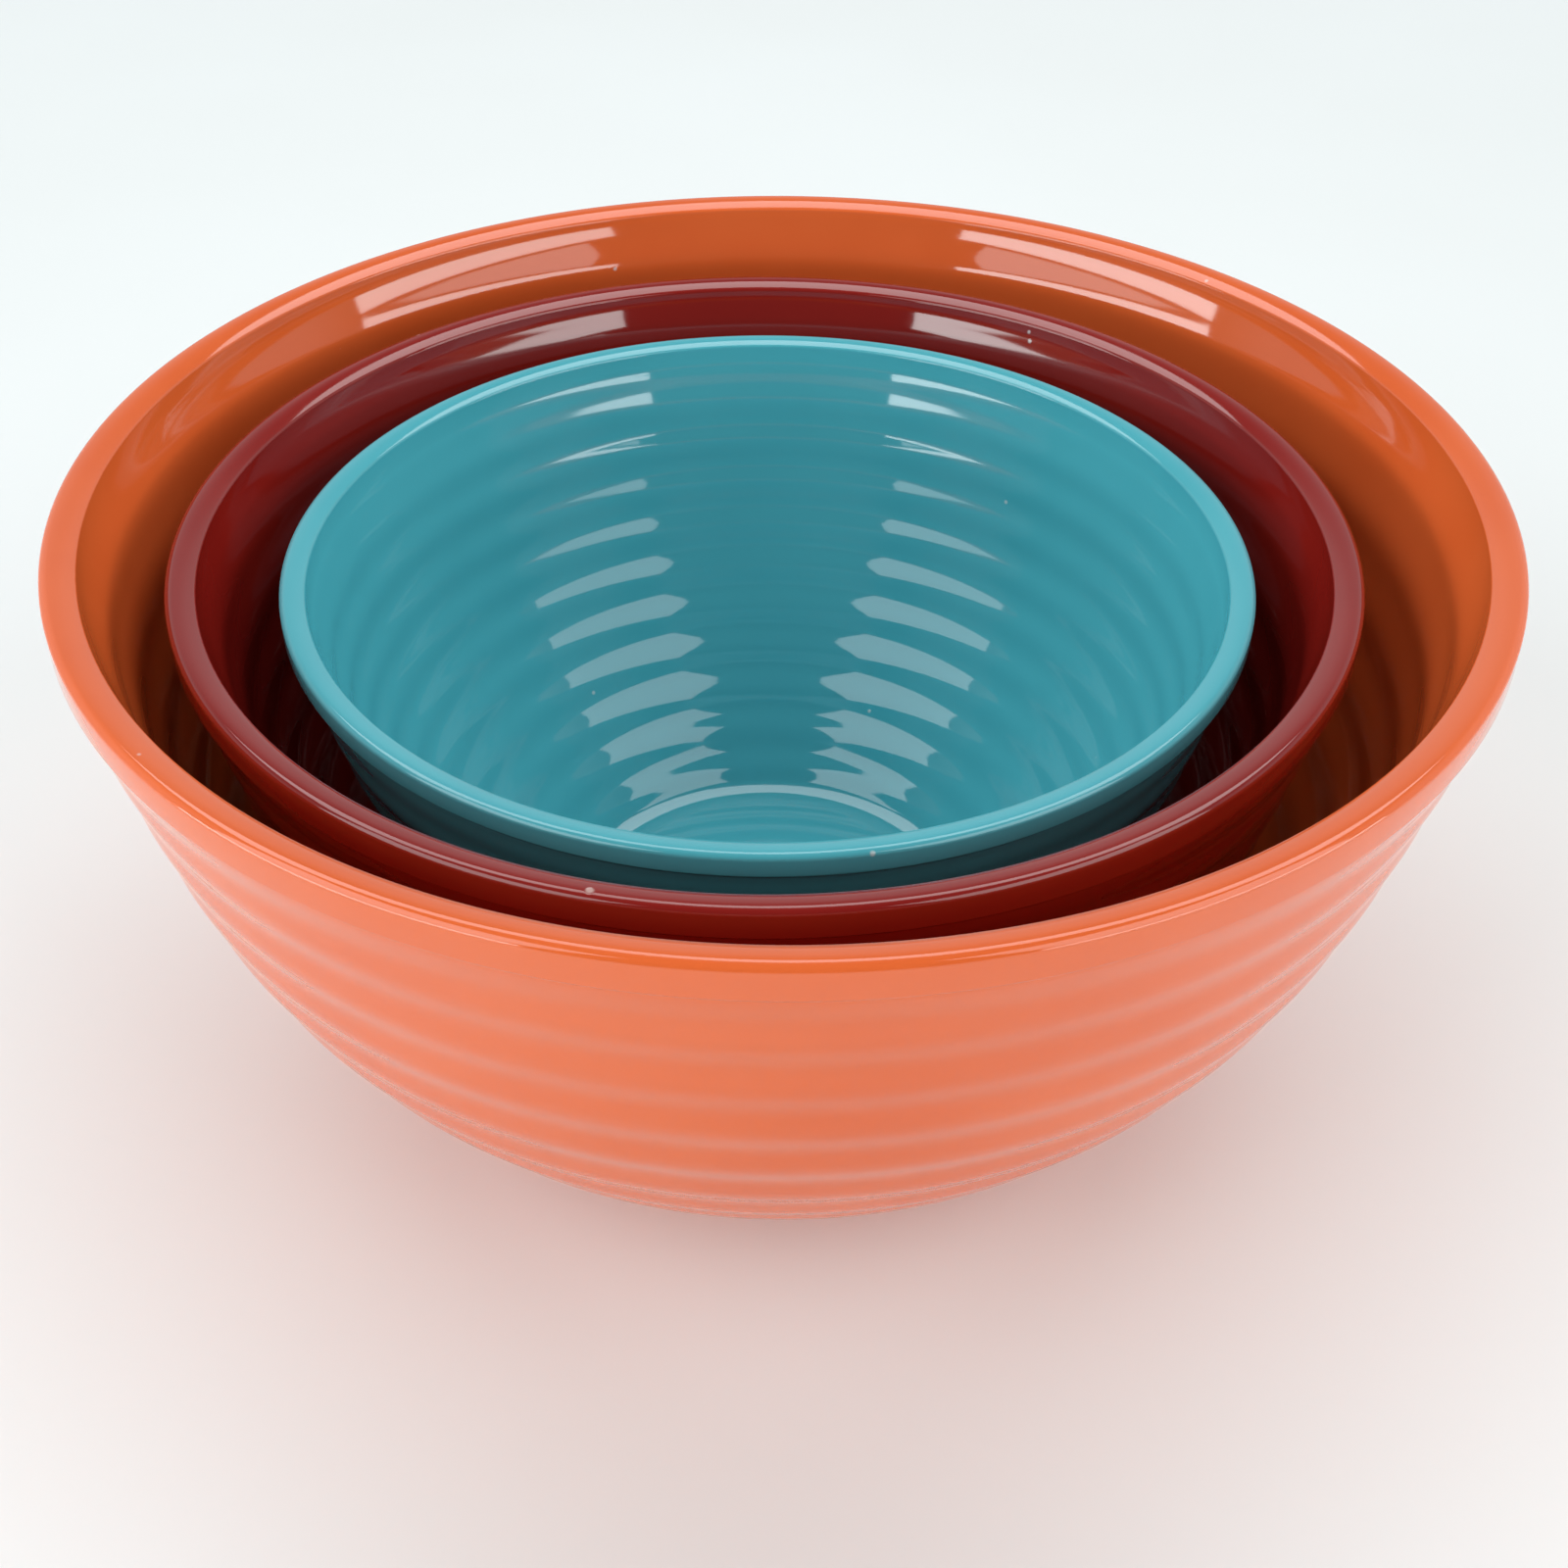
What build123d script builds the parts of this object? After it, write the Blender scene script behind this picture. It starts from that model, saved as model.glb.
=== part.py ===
from build123d import *
import math
import os
from bisect import bisect_right
from dataclasses import dataclass

os.makedirs("parts", exist_ok=True)

# Three ribbed mixing bowls, nested one in another and standing on a table.
# Millimetres, +Z up, origin on the table under the centre of the large bowl.
# Each bowl is one moulding: rim, wall with rings, floor and foot ring.

# ---------------------------------------------------------------- sizes

# Large bowl
RIM_R = 144.8            # outside radius of the rim, the widest place
BOWL_H = 134.2           # table to the top of the rim
FOOT_R = 75.5            # outside radius of the foot ring
WALL = 5.4               # below the thicker band near the rim

# The nest: what is left between a bowl and the next one inside it
RIM_GAP_MEDIUM = 17.9    # mouth of the large bowl to the medium rim, for fingers
RIM_GAP_SMALL = 14.7     # mouth of the medium bowl to the small rim
RIM_DROP_MEDIUM = 11.1   # medium rim below the large rim
RIM_DROP_SMALL = 6.0     # small rim below the medium rim
FOOT_GAP_MEDIUM = 13.0   # foot radius of the large bowl less the medium one's
FOOT_GAP_SMALL = 14.2
SLACK_MEDIUM = 3.7       # the medium bowl stands this far off centre, towards -X
SLACK_SMALL = 0.5        # the small bowl stands this far back towards +X

# ---------------------------------------------------------------- one bowl


def oval(start, end, small):
    """Two arcs, of three points each, from a vertical start to a level end above it."""
    side = math.copysign(1.0, end[0] - start[0])
    width, rise = abs(end[0] - start[0]), end[1] - start[1]
    large_r = (width ** 2 + rise ** 2 - 2 * width * small) / (2 * (rise - small))
    small_c = (start[0] + side * small, start[1])
    large_c = (end[0], end[1] - large_r)
    angle = math.atan2(small_c[1] - large_c[1], small_c[0] - large_c[0])
    first = math.pi if side > 0 else 0.0

    def on(centre, radius, a):
        return (centre[0] + radius * math.cos(a), centre[1] + radius * math.sin(a))

    joint = on(small_c, small, angle)
    return ([start, on(small_c, small, 0.5 * (first + angle)), joint],
            [joint, on(large_c, large_r, 0.5 * (angle + 0.5 * math.pi)), end])


@dataclass
class Bowl:
    """A ribbed bowl about its own axis, with its foot at z = 0."""

    rim_r: float         # outside radius of the rim
    height: float        # foot to the top of the rim
    foot_r: float        # outside radius of the foot ring
    wall: float
    floor: float = 4.2           # thickness of the flat floor
    foot_h: float = 3.5          # body stands this far above the table
    foot_w: float = 4.5          # width of the foot ring
    recess: float = 2.6          # hollow under the floor, inside the foot ring
    mouth_round: float = 0.8     # rounding at the inside edge of the rim
    rim_land: float = 4.2        # crowned top of the rim, rising outwards
    rim_shoulder: float = 1.8    # from the highest place of the rim out to its face
    rim_round: float = 1.1       # rounding at the outside edge of the rim
    rim_rise: float = 1.2        # highest place of the rim above its inside edge
    rim_face: float = 7.0        # rim top to the lower end of its outside face
    rim_step: float = 0.8        # wall set back under the rim
    swell: float = 2.0           # thicker by this much near the rim
    swell_end: float = 60.0      # along the wall, where it is down to its usual thickness
    taper: float = 72.6          # slope of the upper wall, degrees
    heel: float = 37.1           # slope where the wall meets the foot, degrees
    wall_pull: float = 40.9      # how long the upper wall stays straight
    heel_pull: float = 70.2      # how long the heel stays straight
    ring_pitch: float = 14.6     # one ring to the next, along the wall
    ring_depth: float = 0.65     # groove to crest
    ring_start: float = 3.1      # along the wall, the first place where a ring leans back

    @property
    def mouth_r(self):
        """Inside radius just under the rim."""
        return self.rim_r - self.rim_shoulder - self.rim_land - self.mouth_round

    @property
    def floor_z(self):
        """Height of the inside floor above the foot."""
        return self.recess + self.floor

    def wall_curve(self, t):
        """Outside of the wall without rings, at t from 0 under the rim to 1 at the foot."""
        top = (self.rim_r - self.rim_step, self.height - self.rim_face - 0.8 * self.rim_step)
        end = (self.foot_r, self.foot_h)
        a, b = math.radians(self.taper), math.radians(self.heel)
        p1 = (top[0] - self.wall_pull * math.cos(a), top[1] - self.wall_pull * math.sin(a))
        p2 = (end[0] + self.heel_pull * math.cos(b), end[1] + self.heel_pull * math.sin(b))
        w = ((1 - t) ** 3, 3 * t * (1 - t) ** 2, 3 * t * t * (1 - t), t ** 3)
        return tuple(sum(k * p[i] for k, p in zip(w, (top, p1, p2, end))) for i in (0, 1))

    def thickness(self, s):
        """Thickness of the wall at length s down it, easing from the rim's to the usual one."""
        u = min(1.0, max(0.0, (s - 0.15 * self.swell_end) / (0.85 * self.swell_end)))
        return self.wall + self.swell * (1.0 - u * u * (3.0 - 2.0 * u))

    def wall_point(self, arc, line, s, inner):
        """Point at length s down the outside or inside of the wall, with the rings on it."""
        i = min(bisect_right(arc, s), len(line) - 1) - 1
        (r0, z0), (r1, z1) = line[i], line[i + 1]
        step = arc[i + 1] - arc[i]
        u = (s - arc[i]) / step
        fade = min(1.0, max(0.0, 0.5 + (s - self.ring_start) / self.ring_pitch))
        fade *= min(1.0, max(0.0, 2.0 * (arc[-1] - s) / self.ring_pitch))
        turn = math.tau * (s - self.ring_start) / self.ring_pitch
        out = -0.5 * self.ring_depth * fade * math.sin(turn)
        if inner:
            out -= self.thickness(s)
        return (r0 + u * (r1 - r0) - out * (z1 - z0) / step,
                z0 + u * (z1 - z0) + out * (r1 - r0) / step)

    def wall_arcs(self, inner):
        """Arcs down the wall as three points each, two arcs to a ring."""
        steps = 800
        line = [self.wall_curve(i / steps) for i in range(steps + 1)]
        arc = [0.0]
        for p, q in zip(line, line[1:]):
            arc.append(arc[-1] + math.dist(p, q))

        def at(s):
            return self.wall_point(arc, line, s, inner)

        low, end = 0.0, arc[-1]
        if inner:
            for _ in range(60):
                middle = 0.5 * (low + end)
                low, end = (middle, end) if at(middle)[1] > self.floor_z else (low, middle)
        half = 0.5 * self.ring_pitch
        first = self.ring_start % half
        cuts = [first + k * half for k in range(math.ceil((end - first) / half))]
        cuts = [0.0] + [s for s in cuts if 0.3 * half < s < end - 0.4 * half] + [end]
        arcs = [[at(s0), at(0.5 * (s0 + s1)), at(s1)] for s0, s1 in zip(cuts, cuts[1:])]
        if inner:
            arcs[-1][2] = (arcs[-1][2][0], self.floor_z)
        return arcs

    def outside(self):
        return self.wall_arcs(inner=False)

    def inside(self):
        """Inside wall from the mouth down to the flat floor."""
        return self.wall_arcs(inner=True)

    def floor_r(self):
        return self.inside()[-1][2][0]

    def section(self):
        """Half section in the XZ plane, from the axis round the bowl and back."""
        out, ins = self.outside(), self.inside()
        top = self.height
        crown = (self.rim_r - self.rim_shoulder, top)
        mouth = (self.mouth_r, top - self.rim_rise - self.mouth_round)
        face_top = (self.rim_r, top - 0.8 * self.rim_shoulder)
        face_end = (self.rim_r, top - self.rim_face)
        wall_top, wall_end = out[0][0], out[-1][2]
        ins_top, ins_end = ins[0][0], ins[-1][2]
        inner_foot_r = self.foot_r - self.foot_w
        with BuildLine() as line:
            # rim: inside edge, crown, outside edge, outside face, step back to the wall
            for points in (*oval(mouth, crown, self.mouth_round),
                           *oval(face_top, crown, self.rim_round)):
                ThreePointArc(*points)
            Polyline(face_top, face_end, wall_top)
            # outside wall, foot ring, hollow underside
            for points in out:
                ThreePointArc(*points)
            Polyline(wall_end, (self.foot_r, 0), (inner_foot_r, 0),
                     (inner_foot_r, self.recess), (0, self.recess),
                     (0, ins_end[1]), ins_end)
            # inside wall, plain band up to the mouth
            for points in ins:
                ThreePointArc(*points)
            Line(ins_top, mouth)
        return line.line

    def solid(self, x=0.0, z=0.0):
        """The bowl standing with its foot at z and its axis at x."""
        with BuildPart() as part:
            with BuildSketch(Plane.XZ):
                with BuildLine():
                    add(self.section())
                make_face()
            revolve(axis=Axis.Z)
        return Pos(x, 0, z) * part.part


# ---------------------------------------------------------------- the nest

large = Bowl(rim_r=RIM_R, height=BOWL_H, foot_r=FOOT_R, wall=WALL)

medium_x, medium_z = -SLACK_MEDIUM, large.floor_z
medium = Bowl(
    rim_r=large.mouth_r - RIM_GAP_MEDIUM,
    height=large.height - medium_z - RIM_DROP_MEDIUM,
    foot_r=large.foot_r - FOOT_GAP_MEDIUM,
    wall=4.8, floor=3.9, foot_h=3.2, foot_w=4.2, recess=2.4,
    mouth_round=1.0, rim_land=3.4, rim_shoulder=1.6, rim_round=1.0, rim_rise=0.9, rim_face=5.9,
    rim_step=0.7, swell=1.6, swell_end=50.0,
    taper=72.6, heel=37.0, wall_pull=33.8, heel_pull=58.0,
    ring_pitch=12.4, ring_depth=0.56, ring_start=4.6,
)

small_x, small_z = medium_x + SLACK_SMALL, medium_z + medium.floor_z
small = Bowl(
    rim_r=medium.mouth_r - RIM_GAP_SMALL,
    height=medium_z + medium.height - small_z - RIM_DROP_SMALL,
    foot_r=medium.foot_r - FOOT_GAP_SMALL,
    wall=3.8, floor=3.8, foot_h=3.0, foot_w=4.0, recess=2.2,
    mouth_round=0.8, rim_land=3.0, rim_shoulder=1.4, rim_round=0.9, rim_rise=0.6, rim_face=4.9,
    rim_step=1.6, swell=0.4, swell_end=50.0,
    taper=68.0, heel=43.9, wall_pull=14.1, heel_pull=57.3,
    ring_pitch=10.6, ring_depth=0.48, ring_start=6.2,
)

nodes = {
    "large_bowl": large.solid(),
    "medium_bowl": medium.solid(medium_x, medium_z),
    "small_bowl": small.solid(small_x, small_z),
}

for name, solid in nodes.items():
    solid.label = name
    export_step(solid, f"parts/{name}.step")

for name, bowl in (("large", large), ("medium", medium), ("small", small)):
    print(f"{name}: rim {2 * bowl.rim_r:.1f} mm across, {bowl.height:.1f} mm high,"
          f" floor {2 * bowl.floor_r():.1f} mm across, holds about"
          f" {bowl.height - bowl.floor_z:.1f} mm deep")
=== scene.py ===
"""Three nested ribbed mixing bowls in glossy melamine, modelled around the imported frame.

Lengths are metres in the frame's own axes: +Z is up and the large bowl stands on z = 0.
"""

import logging
import math
from bisect import bisect_right
from dataclasses import dataclass, field
from enum import Enum

import bpy
from mathutils import Matrix, Vector


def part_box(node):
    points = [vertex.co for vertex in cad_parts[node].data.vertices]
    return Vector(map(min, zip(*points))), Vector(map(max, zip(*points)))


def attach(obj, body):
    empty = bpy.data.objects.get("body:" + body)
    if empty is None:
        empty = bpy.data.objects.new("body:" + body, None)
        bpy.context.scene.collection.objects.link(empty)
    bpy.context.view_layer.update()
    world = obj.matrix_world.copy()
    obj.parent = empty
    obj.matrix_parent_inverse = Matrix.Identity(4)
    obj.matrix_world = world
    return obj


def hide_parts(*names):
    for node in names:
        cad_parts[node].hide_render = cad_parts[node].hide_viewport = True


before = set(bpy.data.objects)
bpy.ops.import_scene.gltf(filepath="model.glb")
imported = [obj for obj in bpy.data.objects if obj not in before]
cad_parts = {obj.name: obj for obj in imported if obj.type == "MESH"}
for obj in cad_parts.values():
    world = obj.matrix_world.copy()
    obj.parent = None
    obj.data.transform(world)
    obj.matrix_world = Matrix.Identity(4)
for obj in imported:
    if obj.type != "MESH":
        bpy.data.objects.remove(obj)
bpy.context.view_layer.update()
MM = 0.001

CURVE_STEPS = 800                        # straight pieces that stand for a wall's curve
FOOT_ROUND = 0.7 * MM                    # rounding of the foot ring's edges
CHIP_DEPTH = 0.12 * MM
DUST_HEIGHT = 0.03 * MM
DUST_COLOUR = (0.7, 0.7, 0.68, 1.0)

log = logging.getLogger("mixing_bowls")


class NodeName(Enum):
    """The CAD nodes, one for each bowl."""

    LARGE = "large_bowl"
    MEDIUM = "medium_bowl"
    SMALL = "small_bowl"


# ---------------------------------------------------------------- modelling by hand


def deselect_all() -> None:
    """Clears the selection, which a fresh import leaves full."""
    bpy.ops.object.select_all(action="DESELECT")


def draw_chain(name: str, points: list[Vector]) -> bpy.types.Object:
    """Draws a chain of edges, by extruding one corner from point to point.

    Args:
        name: Name of the new object.
        points: Corners of the chain, in order.

    Returns:
        The object, left in edit mode with its last corner selected.
    """
    deselect_all()
    bpy.ops.mesh.primitive_plane_add(size=1 * MM, location=points[0])
    obj = bpy.context.object
    obj.name = obj.data.name = name
    bpy.ops.object.transform_apply(location=True, rotation=True, scale=True)
    bpy.ops.object.mode_set(mode="EDIT")
    bpy.ops.mesh.select_mode(type="VERT")
    bpy.ops.mesh.merge(type="CENTER")
    for start, end in zip(points, points[1:]):
        bpy.ops.mesh.extrude_region_move(TRANSFORM_OT_translate={"value": end - start})
    return obj


def round_corners(obj: bpy.types.Object, corners: list[Vector], radius: float, segments: int) -> None:
    """Rounds some corners of a chain that is open in edit mode.

    Args:
        obj: The chain.
        corners: Places of the corners to round.
        radius: How far from the corner each rounding starts.
        segments: Edges in each rounding.
    """
    bpy.ops.object.mode_set(mode="OBJECT")
    for vertex in obj.data.vertices:
        vertex.select = any((vertex.co - corner).length < 0.01 * MM for corner in corners)
    bpy.ops.object.mode_set(mode="EDIT")
    bpy.ops.mesh.bevel(offset=radius, segments=segments, affect="VERTICES")


def spin_shut(obj: bpy.types.Object, centre: Vector, steps: int) -> None:
    """Spins an open chain a full turn about a vertical axis and closes its seam and poles.

    Args:
        obj: The chain, in edit mode.
        centre: A point on the axis.
        steps: Steps in the full turn.
    """
    bpy.ops.mesh.select_all(action="SELECT")
    bpy.ops.mesh.spin(steps=steps, angle=math.tau, center=centre, axis=(0, 0, 1), use_auto_merge=True)
    bpy.ops.mesh.select_all(action="SELECT")
    bpy.ops.mesh.remove_doubles(threshold=0.002 * MM)
    bpy.ops.mesh.normals_make_consistent(inside=False)
    bpy.ops.object.mode_set(mode="OBJECT")
    bpy.ops.object.shade_smooth()


# ---------------------------------------------------------------- shader sketching


class Sketch:
    """Adds shader nodes to a node tree, one line each."""

    def __init__(self, tree: bpy.types.NodeTree) -> None:
        """Keeps the tree that the nodes go into."""
        self.tree = tree

    def add(self, kind: str, inputs: dict | None = None, **settings) -> bpy.types.Node:
        """Adds one node.

        Args:
            kind: Blender's class name of the node.
            inputs: Value or socket for each named or numbered input.
            settings: Attributes of the node.

        Returns:
            The new node.
        """
        node = self.tree.nodes.new(kind)
        for name, value in settings.items():
            setattr(node, name, value)
        for key, value in (inputs or {}).items():
            if isinstance(value, bpy.types.NodeSocket):
                self.tree.links.new(value, node.inputs[key])
            else:
                node.inputs[key].default_value = value
        return node

    def math(self, operation: str, *values, clamp: bool = False) -> bpy.types.NodeSocket:
        """Adds a Math node and returns its result."""
        node = self.add("ShaderNodeMath", dict(enumerate(values)), operation=operation, use_clamp=clamp)
        return node.outputs[0]

    def remap(self, value, low: float, high: float, to_low: float = 0.0, to_high: float = 1.0):
        """Adds a clamped, smoothed Map Range node and returns its result."""
        inputs = {"Value": value, "From Min": low, "From Max": high, "To Min": to_low, "To Max": to_high}
        return self.add("ShaderNodeMapRange", inputs, interpolation_type="SMOOTHSTEP").outputs["Result"]

    def mix(self, factor, first, second) -> bpy.types.NodeSocket:
        """Adds a colour Mix node and returns its result."""
        node = self.add("ShaderNodeMix", data_type="RGBA")
        for index, value in ((0, factor), (6, first), (7, second)):
            if isinstance(value, bpy.types.NodeSocket):
                self.tree.links.new(value, node.inputs[index])
            else:
                node.inputs[index].default_value = value
        return node.outputs[2]


def new_group(name: str, inputs: dict[str, float | None], outputs: list[str]) -> tuple:
    """Starts a shader node group.

    Args:
        name: Name of the group.
        inputs: Default of each input, or None for a vector.
        outputs: Names of the float outputs.

    Returns:
        The group, its sketch, its input node and its output node.
    """
    tree = bpy.data.node_groups.new(name, "ShaderNodeTree")
    for key, default in inputs.items():
        kind = "NodeSocketVector" if default is None else "NodeSocketFloat"
        socket = tree.interface.new_socket(key, in_out="INPUT", socket_type=kind)
        if default is not None:
            socket.default_value = default
    for key in outputs:
        tree.interface.new_socket(key, in_out="OUTPUT", socket_type="NodeSocketFloat")
    sketch = Sketch(tree)
    return tree, sketch, sketch.add("NodeGroupInput"), sketch.add("NodeGroupOutput")


class Effects:
    """The surface effects that all three melamines share, each one a node group."""

    def __init__(self) -> None:
        """Builds every group once."""
        self.mottle = self.build_mottle()
        self.wiping = self.build_wiping()
        self.specks = self.build_specks()
        self.rim_wear = self.build_rim_wear()

    @staticmethod
    def build_mottle() -> bpy.types.NodeTree:
        """Slow cloudiness of the moulded resin and the fine ripple of its skin."""
        tree, sk, given, result = new_group(
            "resin_mottle", {"Vector": None, "Cloud Scale": 18.0, "Ripple Scale": 420.0}, ["Cloud", "Ripple"])
        cloud = sk.add("ShaderNodeTexNoise", {"Vector": given.outputs["Vector"], "Detail": 3.0,
                                              "Scale": given.outputs["Cloud Scale"], "Roughness": 0.55})
        ripple = sk.add("ShaderNodeTexNoise", {"Vector": given.outputs["Vector"], "Detail": 1.0,
                                               "Scale": given.outputs["Ripple Scale"]})
        sk.tree.links.new(cloud.outputs[0], result.inputs["Cloud"])
        sk.tree.links.new(ripple.outputs[0], result.inputs["Ripple"])
        return tree

    @staticmethod
    def build_wiping() -> bpy.types.NodeTree:
        """Hair scratches left by whisks and cloths, running round and across the bowl."""
        tree, sk, given, result = new_group(
            "wiping_scratches", {"Vector": None, "Density": 0.1, "Seed": 0.0}, ["Mask"])
        parts = sk.add("ShaderNodeSeparateXYZ", {0: given.outputs["Vector"]})
        angle = sk.math("ARCTAN2", parts.outputs[1], parts.outputs[0])
        masks = []
        for along, across, lean in ((9.0, 700.0, 60.0), (14.0, 520.0, -110.0)):
            slant = sk.math("MULTIPLY_ADD", angle, lean * MM, parts.outputs[2])
            place = sk.add("ShaderNodeCombineXYZ", {0: sk.math("MULTIPLY", angle, along),
                                                    1: sk.math("MULTIPLY", slant, across),
                                                    2: given.outputs["Seed"]})
            cells = sk.add("ShaderNodeTexVoronoi", {"Vector": place.outputs[0], "Scale": 1.0},
                           feature="F1")
            line = sk.remap(cells.outputs["Distance"], 0.02, 0.07, 1.0, 0.0)
            patch = sk.add("ShaderNodeTexNoise", {"Vector": given.outputs["Vector"], "Scale": 26.0 + along})
            masks.append(sk.math("MULTIPLY", line, sk.remap(patch.outputs[0], 0.5, 0.7)))
        both = sk.math("MULTIPLY", sk.math("MAXIMUM", *masks), given.outputs["Density"])
        sk.tree.links.new(both, result.inputs["Mask"])
        return tree

    @staticmethod
    def build_specks() -> bpy.types.NodeTree:
        """Scattered grains of dust: few, small and pale."""
        tree, sk, given, result = new_group(
            "dust_specks", {"Vector": None, "Scale": 160.0, "Amount": 0.02}, ["Mask"])
        cells = sk.add("ShaderNodeTexVoronoi", {"Vector": given.outputs["Vector"],
                                                "Scale": given.outputs["Scale"]})
        draw = sk.add("ShaderNodeSeparateColor", {0: cells.outputs["Color"]}).outputs[0]
        chosen = sk.math("LESS_THAN", draw, given.outputs["Amount"])
        grain = sk.remap(cells.outputs["Distance"], 0.04, 0.11, 1.0, 0.0)
        sk.tree.links.new(sk.math("MULTIPLY", grain, chosen), result.inputs["Mask"])
        return tree

    @staticmethod
    def build_rim_wear() -> bpy.types.NodeTree:
        """Where the rim has been knocked and rubbed: small chips and a dulled crown."""
        tree, sk, given, result = new_group(
            "rim_wear", {"Vector": None, "Rim Height": 0.13, "Chips": 0.05}, ["Rub", "Chip"])
        height = sk.add("ShaderNodeSeparateXYZ", {0: given.outputs["Vector"]}).outputs[2]
        below = sk.math("SUBTRACT", given.outputs["Rim Height"], height)
        crown = sk.remap(below, 0.4 * MM, 2.6 * MM, 1.0, 0.0)
        worn = sk.add("ShaderNodeTexNoise", {"Vector": given.outputs["Vector"], "Scale": 55.0, "Detail": 4.0})
        rub = sk.math("MULTIPLY", crown, sk.remap(worn.outputs[0], 0.42, 0.72))
        cells = sk.add("ShaderNodeTexVoronoi", {"Vector": given.outputs["Vector"], "Scale": 130.0})
        draw = sk.add("ShaderNodeSeparateColor", {0: cells.outputs["Color"]}).outputs[1]
        chosen = sk.math("LESS_THAN", draw, given.outputs["Chips"])
        nick = sk.remap(cells.outputs["Distance"], 0.05, 0.13, 1.0, 0.0)
        edge = sk.remap(below, 2.0 * MM, 4.0 * MM, 1.0, 0.0)
        chip = sk.math("MULTIPLY", sk.math("MULTIPLY", nick, chosen), edge)
        sk.tree.links.new(rub, result.inputs["Rub"])
        sk.tree.links.new(chip, result.inputs["Chip"])
        return tree


@dataclass(frozen=True)
class Melamine:
    """One colour of glossy moulded melamine."""

    name: str
    slot: str
    colour: tuple[float, float, float]
    cloudy: tuple[float, float, float]       # where the resin is a shade off
    chipped: tuple[float, float, float]      # bare filler in a chip
    gloss: float = 0.055                     # roughness of clean skin
    dulled: float = 0.22                     # roughness in scratches and rubbed places
    ior: float = 1.62
    ripple: float = 0.5e-6                   # height of the skin's ripple
    seed: float = 0.0

    def build(self, effects: Effects, axis: Vector, rim_z: float) -> bpy.types.Material:
        """Builds the material.

        Args:
            effects: The shared effects.
            axis: A point on the bowl's axis.
            rim_z: Height of the top of the rim.

        Returns:
            The finished material.
        """
        material = bpy.data.materials.new(self.name)
        material.use_nodes = True
        sk = Sketch(material.node_tree)
        shader = next(n for n in sk.tree.nodes if n.type == "BSDF_PRINCIPLED")
        place = sk.add("ShaderNodeTexCoord").outputs["Object"]
        centred = sk.add("ShaderNodeMapping", {"Vector": place, "Location": (-axis.x, -axis.y, 0.0)})
        at = centred.outputs["Vector"]

        mottle = sk.add("ShaderNodeGroup", node_tree=effects.mottle)
        wiping = sk.add("ShaderNodeGroup", node_tree=effects.wiping)
        specks = sk.add("ShaderNodeGroup", node_tree=effects.specks)
        wear = sk.add("ShaderNodeGroup", node_tree=effects.rim_wear)
        for group in (mottle, wiping, specks, wear):
            sk.tree.links.new(at, group.inputs["Vector"])
        wiping.inputs["Seed"].default_value = self.seed
        wear.inputs["Rim Height"].default_value = rim_z

        cloud = sk.remap(mottle.outputs["Cloud"], 0.35, 0.7)
        colour = sk.mix(cloud, (*self.colour, 1.0), (*self.cloudy, 1.0))
        colour = sk.mix(sk.math("MULTIPLY", specks.outputs["Mask"], 0.6), colour, DUST_COLOUR)
        colour = sk.mix(wear.outputs["Chip"], colour, (*self.chipped, 1.0))
        sk.tree.links.new(colour, shader.inputs["Base Color"])

        marks = sk.math("MAXIMUM", wiping.outputs["Mask"], sk.math("MULTIPLY", wear.outputs["Rub"], 0.35))
        marks = sk.math("MAXIMUM", marks, sk.math("MAXIMUM", specks.outputs["Mask"], wear.outputs["Chip"]))
        rough = sk.remap(marks, 0.0, 1.0, self.gloss, self.dulled)
        sk.tree.links.new(rough, shader.inputs["Roughness"])

        height = sk.math("MULTIPLY", mottle.outputs["Ripple"], self.ripple)
        height = sk.math("MULTIPLY_ADD", wear.outputs["Chip"], -CHIP_DEPTH, height)
        height = sk.math("MULTIPLY_ADD", specks.outputs["Mask"], DUST_HEIGHT, height)
        bump = sk.add("ShaderNodeBump", {"Height": height, "Distance": 1.0, "Strength": 1.0})
        sk.tree.links.new(bump.outputs[0], shader.inputs["Normal"])
        shader.inputs["IOR"].default_value = self.ior
        return material


# ---------------------------------------------------------------- the bowls


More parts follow.
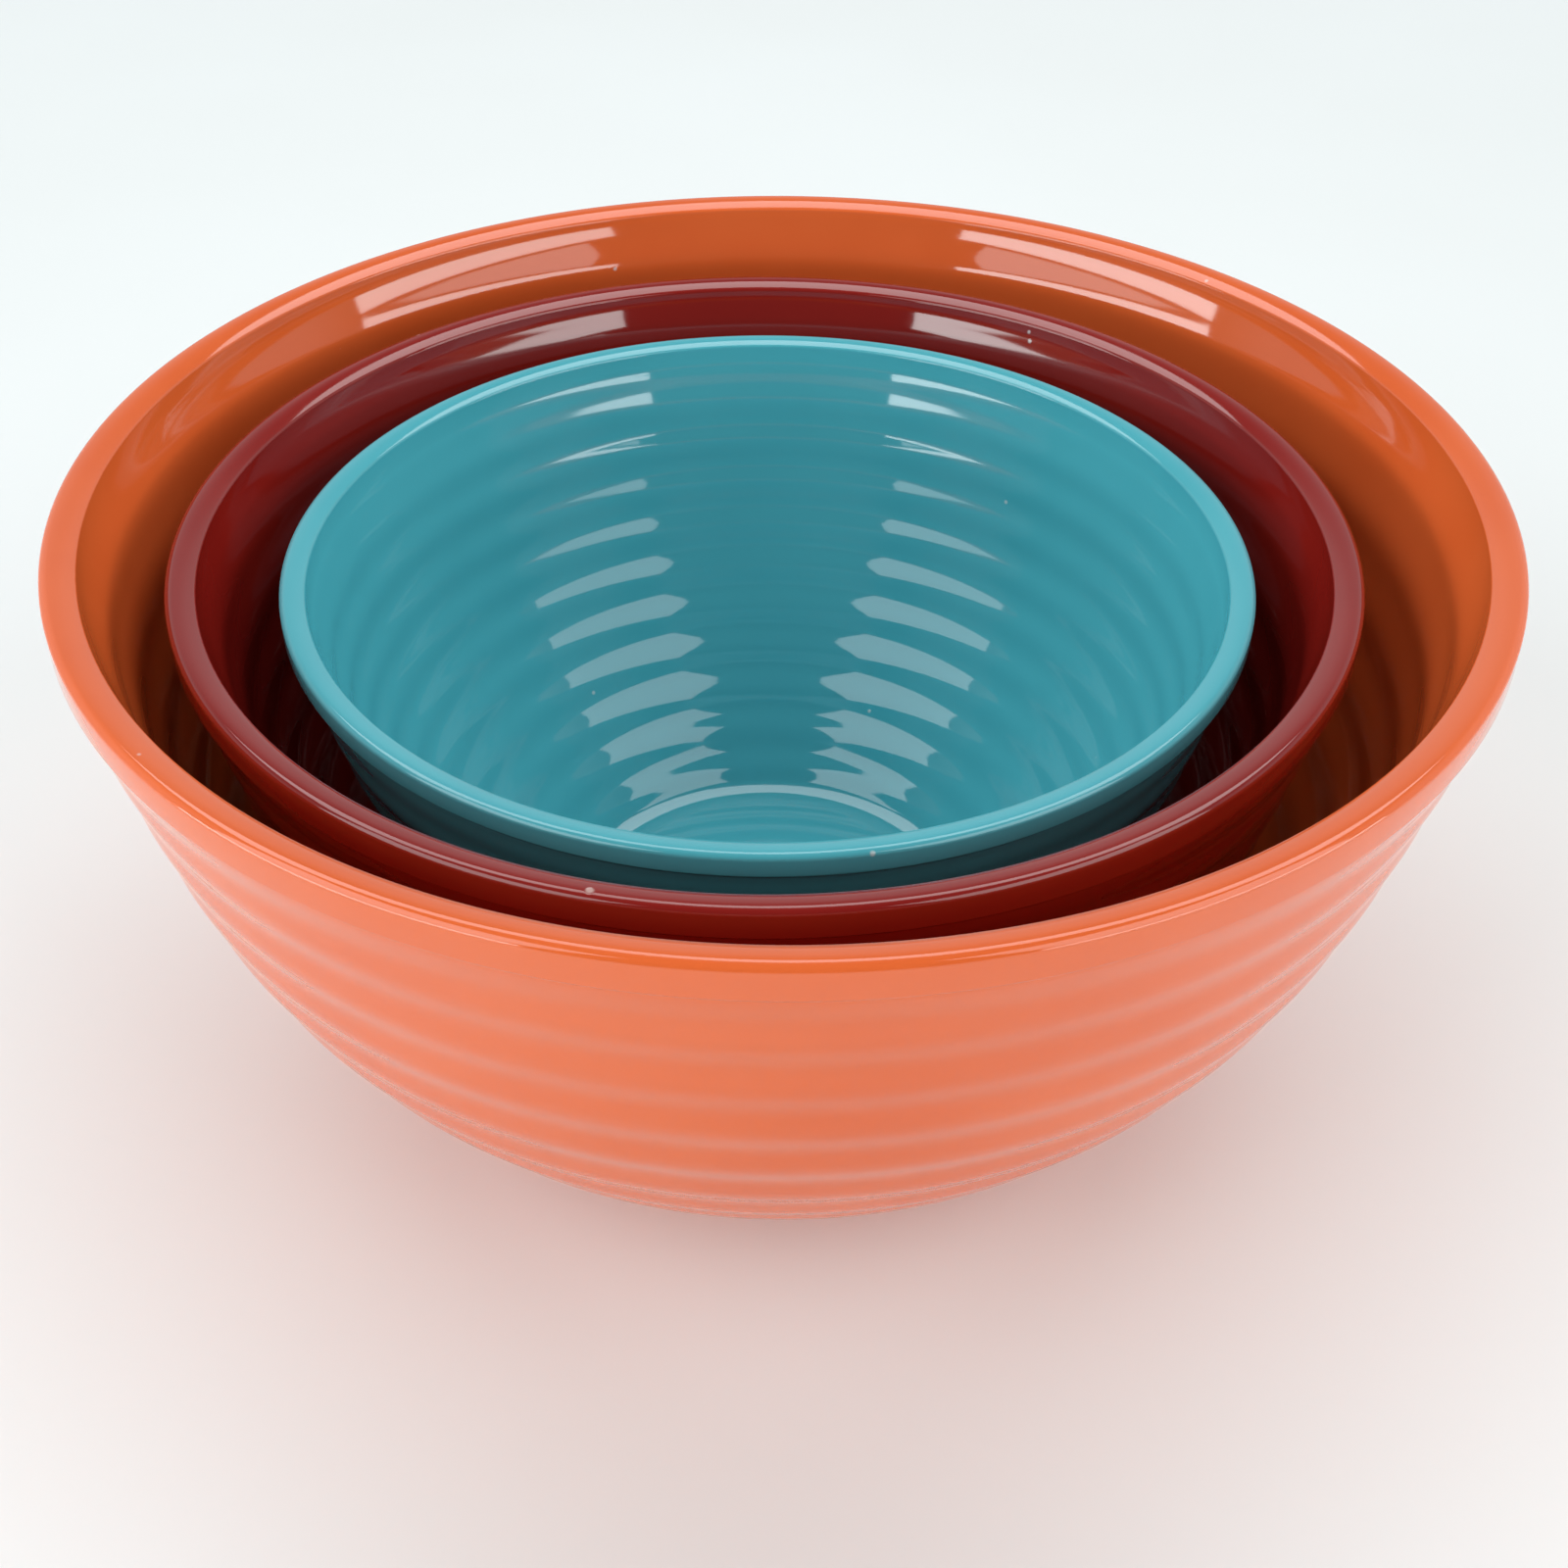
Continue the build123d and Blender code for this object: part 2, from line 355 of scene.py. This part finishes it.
@dataclass
class RibbedBowl:
    """One moulded bowl: rim, ringed wall, floor and foot ring. Sizes are millimetres."""

    node: NodeName
    body: str
    finish: Melamine
    wall: float
    floor: float
    foot_h: float
    foot_w: float
    foot_r: float
    recess: float
    mouth_round: float
    rim_land: float
    rim_shoulder: float
    rim_round: float
    rim_rise: float
    rim_face: float
    rim_step: float
    swell: float
    swell_end: float
    taper: float
    heel: float
    wall_pull: float
    heel_pull: float
    ring_pitch: float
    ring_depth: float
    ring_start: float
    grain: float = 1.2           # longest edge along the wall
    turns: int = 240             # steps round the bowl
    low: Vector = field(init=False)
    high: Vector = field(init=False)

    def __post_init__(self) -> None:
        """Takes the bowl's place and outer size from its CAD node."""
        self.low, self.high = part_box(self.node.value)

    @property
    def axis(self) -> Vector:
        """Foot of the bowl's axis."""
        return Vector((0.5 * (self.low.x + self.high.x), 0.5 * (self.low.y + self.high.y), self.low.z))

    @property
    def rim_r(self) -> float:
        """Outside radius of the rim, in millimetres."""
        return 0.5 * (self.high.y - self.low.y) / MM

    @property
    def height(self) -> float:
        """Foot to the top of the rim, in millimetres."""
        return (self.high.z - self.low.z) / MM

    @property
    def mouth_r(self) -> float:
        """Inside radius just under the rim."""
        return self.rim_r - self.rim_shoulder - self.rim_land - self.mouth_round

    @property
    def floor_z(self) -> float:
        """Height of the inside floor above the foot."""
        return self.recess + self.floor

    def plain_wall(self, t: float) -> tuple[float, float]:
        """Point of the outside wall without rings, at t from 0 under the rim to 1 at the foot."""
        top = (self.rim_r - self.rim_step, self.height - self.rim_face - 0.8 * self.rim_step)
        end = (self.foot_r, self.foot_h)
        a, b = math.radians(self.taper), math.radians(self.heel)
        p1 = (top[0] - self.wall_pull * math.cos(a), top[1] - self.wall_pull * math.sin(a))
        p2 = (end[0] + self.heel_pull * math.cos(b), end[1] + self.heel_pull * math.sin(b))
        w = ((1 - t) ** 3, 3 * t * (1 - t) ** 2, 3 * t * t * (1 - t), t ** 3)
        return tuple(sum(k * p[i] for k, p in zip(w, (top, p1, p2, end))) for i in (0, 1))

    def thickness(self, s: float) -> float:
        """Thickness of the wall at length s down it, easing from the rim's to the usual one."""
        u = min(1.0, max(0.0, (s - 0.15 * self.swell_end) / (0.85 * self.swell_end)))
        return self.wall + self.swell * (1.0 - u * u * (3.0 - 2.0 * u))

    def ringed_wall(self, inner: bool) -> list[tuple[float, float]]:
        """Points down the wall with its rings.

        Args:
            inner: True for the inside, which ends on the floor, False for the outside.

        Returns:
            Radius and height of each point, from the rim down.
        """
        line = [self.plain_wall(i / CURVE_STEPS) for i in range(CURVE_STEPS + 1)]
        run = [0.0]
        for p, q in zip(line, line[1:]):
            run.append(run[-1] + math.dist(p, q))

        def at(s: float) -> tuple[float, float]:
            """Point at length s down the wall."""
            i = min(bisect_right(run, s), CURVE_STEPS) - 1
            (r0, z0), (r1, z1) = line[i], line[i + 1]
            step = run[i + 1] - run[i]
            u = (s - run[i]) / step
            fade = min(1.0, max(0.0, 0.5 + (s - self.ring_start) / self.ring_pitch))
            fade *= min(1.0, max(0.0, 2.0 * (run[-1] - s) / self.ring_pitch))
            wave = math.sin(math.tau * (s - self.ring_start) / self.ring_pitch)
            out = -0.5 * self.ring_depth * fade * wave - (self.thickness(s) if inner else 0.0)
            return (r0 + u * (r1 - r0) - out * (z1 - z0) / step,
                    z0 + u * (z1 - z0) + out * (r1 - r0) / step)

        first, last = 0.0, run[-1]
        if inner:
            for _ in range(60):
                middle = 0.5 * (first + last)
                first, last = (middle, last) if at(middle)[1] > self.floor_z else (first, middle)
        count = math.ceil(last / self.grain)
        points = [at(last * k / count) for k in range(count + 1)]
        if inner:
            points[-1] = (points[-1][0], self.floor_z)
        return points

    def profile(self) -> list[tuple[float, float]]:
        """Half section from the middle of the floor, up inside, over the rim and down to the foot."""
        inside, outside = self.ringed_wall(inner=True), self.ringed_wall(inner=False)
        top = self.height
        crown = (self.rim_r - self.rim_shoulder, top)
        mouth = (self.mouth_r, top - self.rim_rise - self.mouth_round)
        face_top = (self.rim_r, top - 0.8 * self.rim_shoulder)
        face_end = (self.rim_r, top - self.rim_face)
        rim = [mouth, *self.rounded(mouth, crown, self.mouth_round),
               *reversed(self.rounded(face_top, crown, self.rim_round)[:-1]), face_top]
        under = self.blend(face_end, outside[0])
        edge = self.foot_r - self.foot_w
        foot = [(self.foot_r, 0.0), (edge, 0.0), (edge, self.recess), (0.0, self.recess)]
        spokes = [(inside[-1][0] * k / 6, self.floor_z) for k in range(6)]
        return [*spokes, *reversed(inside), *rim, *under, *outside[1:], *foot]

    @staticmethod
    def rounded(start: tuple, end: tuple, small: float) -> list[tuple[float, float]]:
        """Points after start on two arcs, from a vertical start to a level end above it."""
        side = math.copysign(1.0, end[0] - start[0])
        width, rise = abs(end[0] - start[0]), end[1] - start[1]
        large = (width ** 2 + rise ** 2 - 2 * width * small) / (2 * (rise - small))
        near = (start[0] + side * small, start[1])
        far = (end[0], end[1] - large)
        turn = math.atan2(near[1] - far[1], near[0] - far[0])
        first = math.pi if side > 0 else 0.0
        points = []
        arcs = ((near, small, first, turn, 8), (far, large, turn, 0.5 * math.pi, 6))
        for centre, radius, a0, a1, steps in arcs:
            for k in range(1, steps + 1):
                a = a0 + (a1 - a0) * k / steps
                points.append((centre[0] + radius * math.cos(a), centre[1] + radius * math.sin(a)))
        return points

    @staticmethod
    def blend(face_end: tuple, wall_top: tuple) -> list[tuple[float, float]]:
        """Points of the soft step from the rim's face in to the wall."""
        inset, drop = face_end[0] - wall_top[0], face_end[1] - wall_top[1]
        return [(face_end[0] - inset * (3 - 2 * t) * t * t, face_end[1] + (0.6 - 1.6 * t) * drop)
                for t in (0.0, 0.15, 0.3, 0.45, 0.6, 0.75, 0.9, 1.0)]

    def model(self) -> bpy.types.Object:
        """Draws the half section and spins it into the bowl.

        Returns:
            The finished mesh object, in place.
        """
        def place(point: tuple[float, float]) -> Vector:
            """A point of the half section in the frame."""
            return self.axis + Vector((point[0] * MM, 0.0, point[1] * MM))

        obj = draw_chain(f"{self.node.value}_moulding", [place(p) for p in self.profile()])
        edge = self.foot_r - self.foot_w
        round_corners(obj, [place((self.foot_r, 0.0)), place((edge, 0.0))], FOOT_ROUND, 4)
        spin_shut(obj, self.axis, self.turns)
        return obj

    def dress(self, obj: bpy.types.Object, effects: Effects) -> None:
        """Gives the bowl its melamine and ties it to the frame."""
        obj.data.materials.append(self.finish.build(effects, self.axis, self.high.z))
        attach(obj, self.body)
        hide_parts(self.node.value)

    def make(self, effects: Effects) -> bpy.types.Object:
        """Models and dresses the bowl, and reports it."""
        obj = self.model()
        self.dress(obj, effects)
        log.info("%s: %d faces on body %s", obj.name, len(obj.data.polygons), self.body)
        return obj


ORANGE = Melamine("orange_melamine_gloss", "orange_melamine", colour=(0.72, 0.128, 0.03),
                  cloudy=(0.69, 0.115, 0.025), chipped=(0.45, 0.16, 0.09), seed=1.7)
RED = Melamine("red_melamine_gloss", "red_melamine", colour=(0.25, 0.012, 0.008),
               cloudy=(0.23, 0.010, 0.007), chipped=(0.5, 0.3, 0.27), seed=5.2)
TURQUOISE = Melamine("turquoise_melamine_gloss", "turquoise_melamine", colour=(0.075, 0.405, 0.475),
                     cloudy=(0.068, 0.385, 0.455), chipped=(0.3, 0.5, 0.5), seed=9.4)


class BowlNest:
    """The three bowls, from the outside in."""

    def __init__(self) -> None:
        """States each bowl's sizes."""
        self.bowls = [
            RibbedBowl(NodeName.LARGE, "large", ORANGE, wall=5.4, floor=4.2, foot_h=3.5, foot_w=4.5,
                       foot_r=75.5, recess=2.6, mouth_round=0.8, rim_land=4.2, rim_shoulder=1.8,
                       rim_round=1.1, rim_rise=1.2, rim_face=7.0, rim_step=0.8, swell=2.0, swell_end=60.0,
                       taper=72.6, heel=37.1, wall_pull=40.9, heel_pull=70.2,
                       ring_pitch=14.6, ring_depth=0.65, ring_start=3.1),
            RibbedBowl(NodeName.MEDIUM, "medium", RED, wall=4.8, floor=3.9, foot_h=3.2, foot_w=4.2,
                       foot_r=62.5, recess=2.4, mouth_round=1.0, rim_land=3.4, rim_shoulder=1.6,
                       rim_round=1.0, rim_rise=0.9, rim_face=5.9, rim_step=0.7, swell=1.6, swell_end=50.0,
                       taper=72.6, heel=37.0, wall_pull=33.8, heel_pull=58.0,
                       ring_pitch=12.4, ring_depth=0.56, ring_start=4.6),
            RibbedBowl(NodeName.SMALL, "small", TURQUOISE, wall=3.8, floor=3.8, foot_h=3.0, foot_w=4.0,
                       foot_r=48.3, recess=2.2, mouth_round=0.8, rim_land=3.0, rim_shoulder=1.4,
                       rim_round=0.9, rim_rise=0.6, rim_face=4.9, rim_step=1.6, swell=0.4, swell_end=50.0,
                       taper=68.0, heel=43.9, wall_pull=14.1, heel_pull=57.3,
                       ring_pitch=10.6, ring_depth=0.48, ring_start=6.2),
        ]

    def make(self) -> None:
        """Makes every bowl."""
        effects = Effects()
        for bowl in self.bowls:
            bowl.make(effects)


# ---------------------------------------------------------------- the studio


@dataclass
class SoftBox:
    """A rectangular lamp that faces the bowls."""

    name: str
    azimuth: float               # degrees from -Y towards +X
    distance: float              # metres along the table
    low: float                   # height of its lower edge
    high: float                  # height of its upper edge
    width: float
    radiance: float
    colour: tuple[float, float, float] = (1.0, 1.0, 1.0)
    aim_z: float = 0.1

    def hang(self) -> None:
        """Adds the lamp, upright apart from its aim."""
        a = math.radians(self.azimuth)
        middle = 0.5 * (self.low + self.high)
        place = Vector((self.distance * math.sin(a), -self.distance * math.cos(a), middle))
        data = bpy.data.lights.new(self.name, "AREA")
        data.shape = "RECTANGLE"
        data.size, data.size_y = self.width, self.high - self.low
        data.energy = self.radiance * math.pi * data.size * data.size_y
        data.color = self.colour
        lamp = bpy.data.objects.new(self.name, data)
        lamp.matrix_world = facing(place, Vector((0.0, 0.0, self.aim_z)) - place)
        bpy.context.scene.collection.objects.link(lamp)


def facing(place: Vector, forward: Vector, roll: float = 0.0) -> Matrix:
    """Matrix of a camera or lamp at a place.

    Args:
        place: Where it is.
        forward: The way it looks.
        roll: Degrees that its right-hand side is raised.

    Returns:
        The world matrix.
    """
    forward = forward.normalized()
    right = forward.cross(Vector((0.0, 0.0, 1.0))).normalized()
    up = right.cross(forward)
    c, s = math.cos(math.radians(roll)), math.sin(math.radians(roll))
    right, up = c * right + s * up, c * up - s * right
    matrix = Matrix((right, up, -forward)).transposed().to_4x4()
    matrix.translation = place
    return matrix


class Studio:
    """Pale table, soft lamps and the camera."""

    lamps = [
        SoftBox("left_window_low", azimuth=-58.0, distance=1.3, low=0.10, high=0.38, width=1.24, radiance=6.8,
                colour=(0.96, 1.0, 1.0)),
        SoftBox("left_window_high", azimuth=-58.0, distance=1.3, low=0.38, high=1.6, width=1.24, radiance=2.5,
                colour=(0.96, 1.0, 1.0)),
        SoftBox("right_window_low", azimuth=58.0, distance=1.3, low=0.10, high=0.38, width=1.24, radiance=5.4,
                colour=(0.99, 1.0, 0.99)),
        SoftBox("right_window_high", azimuth=58.0, distance=1.3, low=0.38, high=1.6, width=1.24, radiance=2.2,
                colour=(0.99, 1.0, 0.99)),
        SoftBox("ceiling_light", azimuth=180.0, distance=1.0, low=1.4, high=2.6, width=3.4, radiance=3.0,
                aim_z=-50.0),
    ]

    def lay_table(self) -> None:
        """Adds the table top, with a faint cloudy tone in its surface."""
        deselect_all()
        bpy.ops.mesh.primitive_plane_add(size=8.0, location=(0.0, 0.0, 0.0))
        table = bpy.context.object
        table.name = "table_top"
        material = bpy.data.materials.new("pale_laminate")
        material.use_nodes = True
        sk = Sketch(material.node_tree)
        shader = next(n for n in sk.tree.nodes if n.type == "BSDF_PRINCIPLED")
        place = sk.add("ShaderNodeTexCoord").outputs["Object"]
        cloud = sk.add("ShaderNodeTexNoise", {"Vector": place, "Scale": 3.0, "Detail": 3.0})
        shade = sk.remap(cloud.outputs[0], 0.3, 0.7)
        colour = sk.mix(shade, (0.80, 0.84, 0.835, 1.0), (0.82, 0.865, 0.865, 1.0))
        sk.tree.links.new(colour, shader.inputs["Base Color"])
        shader.inputs["Roughness"].default_value = 0.5
        table.data.materials.append(material)

    def light(self) -> None:
        """Adds the lamps and the pale surroundings."""
        for lamp in self.lamps:
            lamp.hang()
        world = bpy.data.worlds.new("pale_room")
        world.use_nodes = True
        background = next(n for n in world.node_tree.nodes if n.type == "BACKGROUND")
        sk = Sketch(world.node_tree)
        way = sk.add("ShaderNodeSeparateXYZ", {0: sk.add("ShaderNodeTexCoord").outputs["Generated"]})
        ceiling = sk.remap(way.outputs[2], 0.42, 0.75)
        colour = sk.mix(ceiling, (0.93, 0.98, 1.0, 1.0), (0.22, 0.23, 0.24, 1.0))
        behind = sk.remap(way.outputs[1], -0.3, 0.1, 1.0, 0.0)
        colour = sk.mix(behind, colour, (0.10, 0.10, 0.11, 1.0))
        sk.tree.links.new(colour, background.inputs["Color"])
        background.inputs["Strength"].default_value = 0.66
        bpy.context.scene.world = world
        bpy.context.scene.view_settings.view_transform = "Standard"

    def place_camera(self) -> None:
        """Adds the camera, in front of and above the nest."""
        data = bpy.data.cameras.new("camera")
        data.sensor_width, data.lens = 36.0, 47.25
        pitch, yaw = math.radians(38.08), math.radians(-0.01)
        forward = Vector((math.sin(yaw) * math.cos(pitch), math.cos(yaw) * math.cos(pitch), -math.sin(pitch)))
        camera = bpy.data.objects.new("camera", data)
        camera.matrix_world = facing(Vector((0.0005, -0.3649, 0.3409)), forward, roll=0.5)
        bpy.context.scene.collection.objects.link(camera)
        bpy.context.scene.camera = camera

    def set_up(self) -> None:
        """Sets up everything round the bowls."""
        self.lay_table()
        self.light()
        self.place_camera()
        log.info("studio: %d lamps", len(self.lamps))


def main() -> None:
    """Makes the studio and the bowls."""
    logging.basicConfig(level=logging.INFO, format="%(name)s: %(message)s")
    Studio().set_up()
    BowlNest().make()


if __name__ == "__main__":
    main()
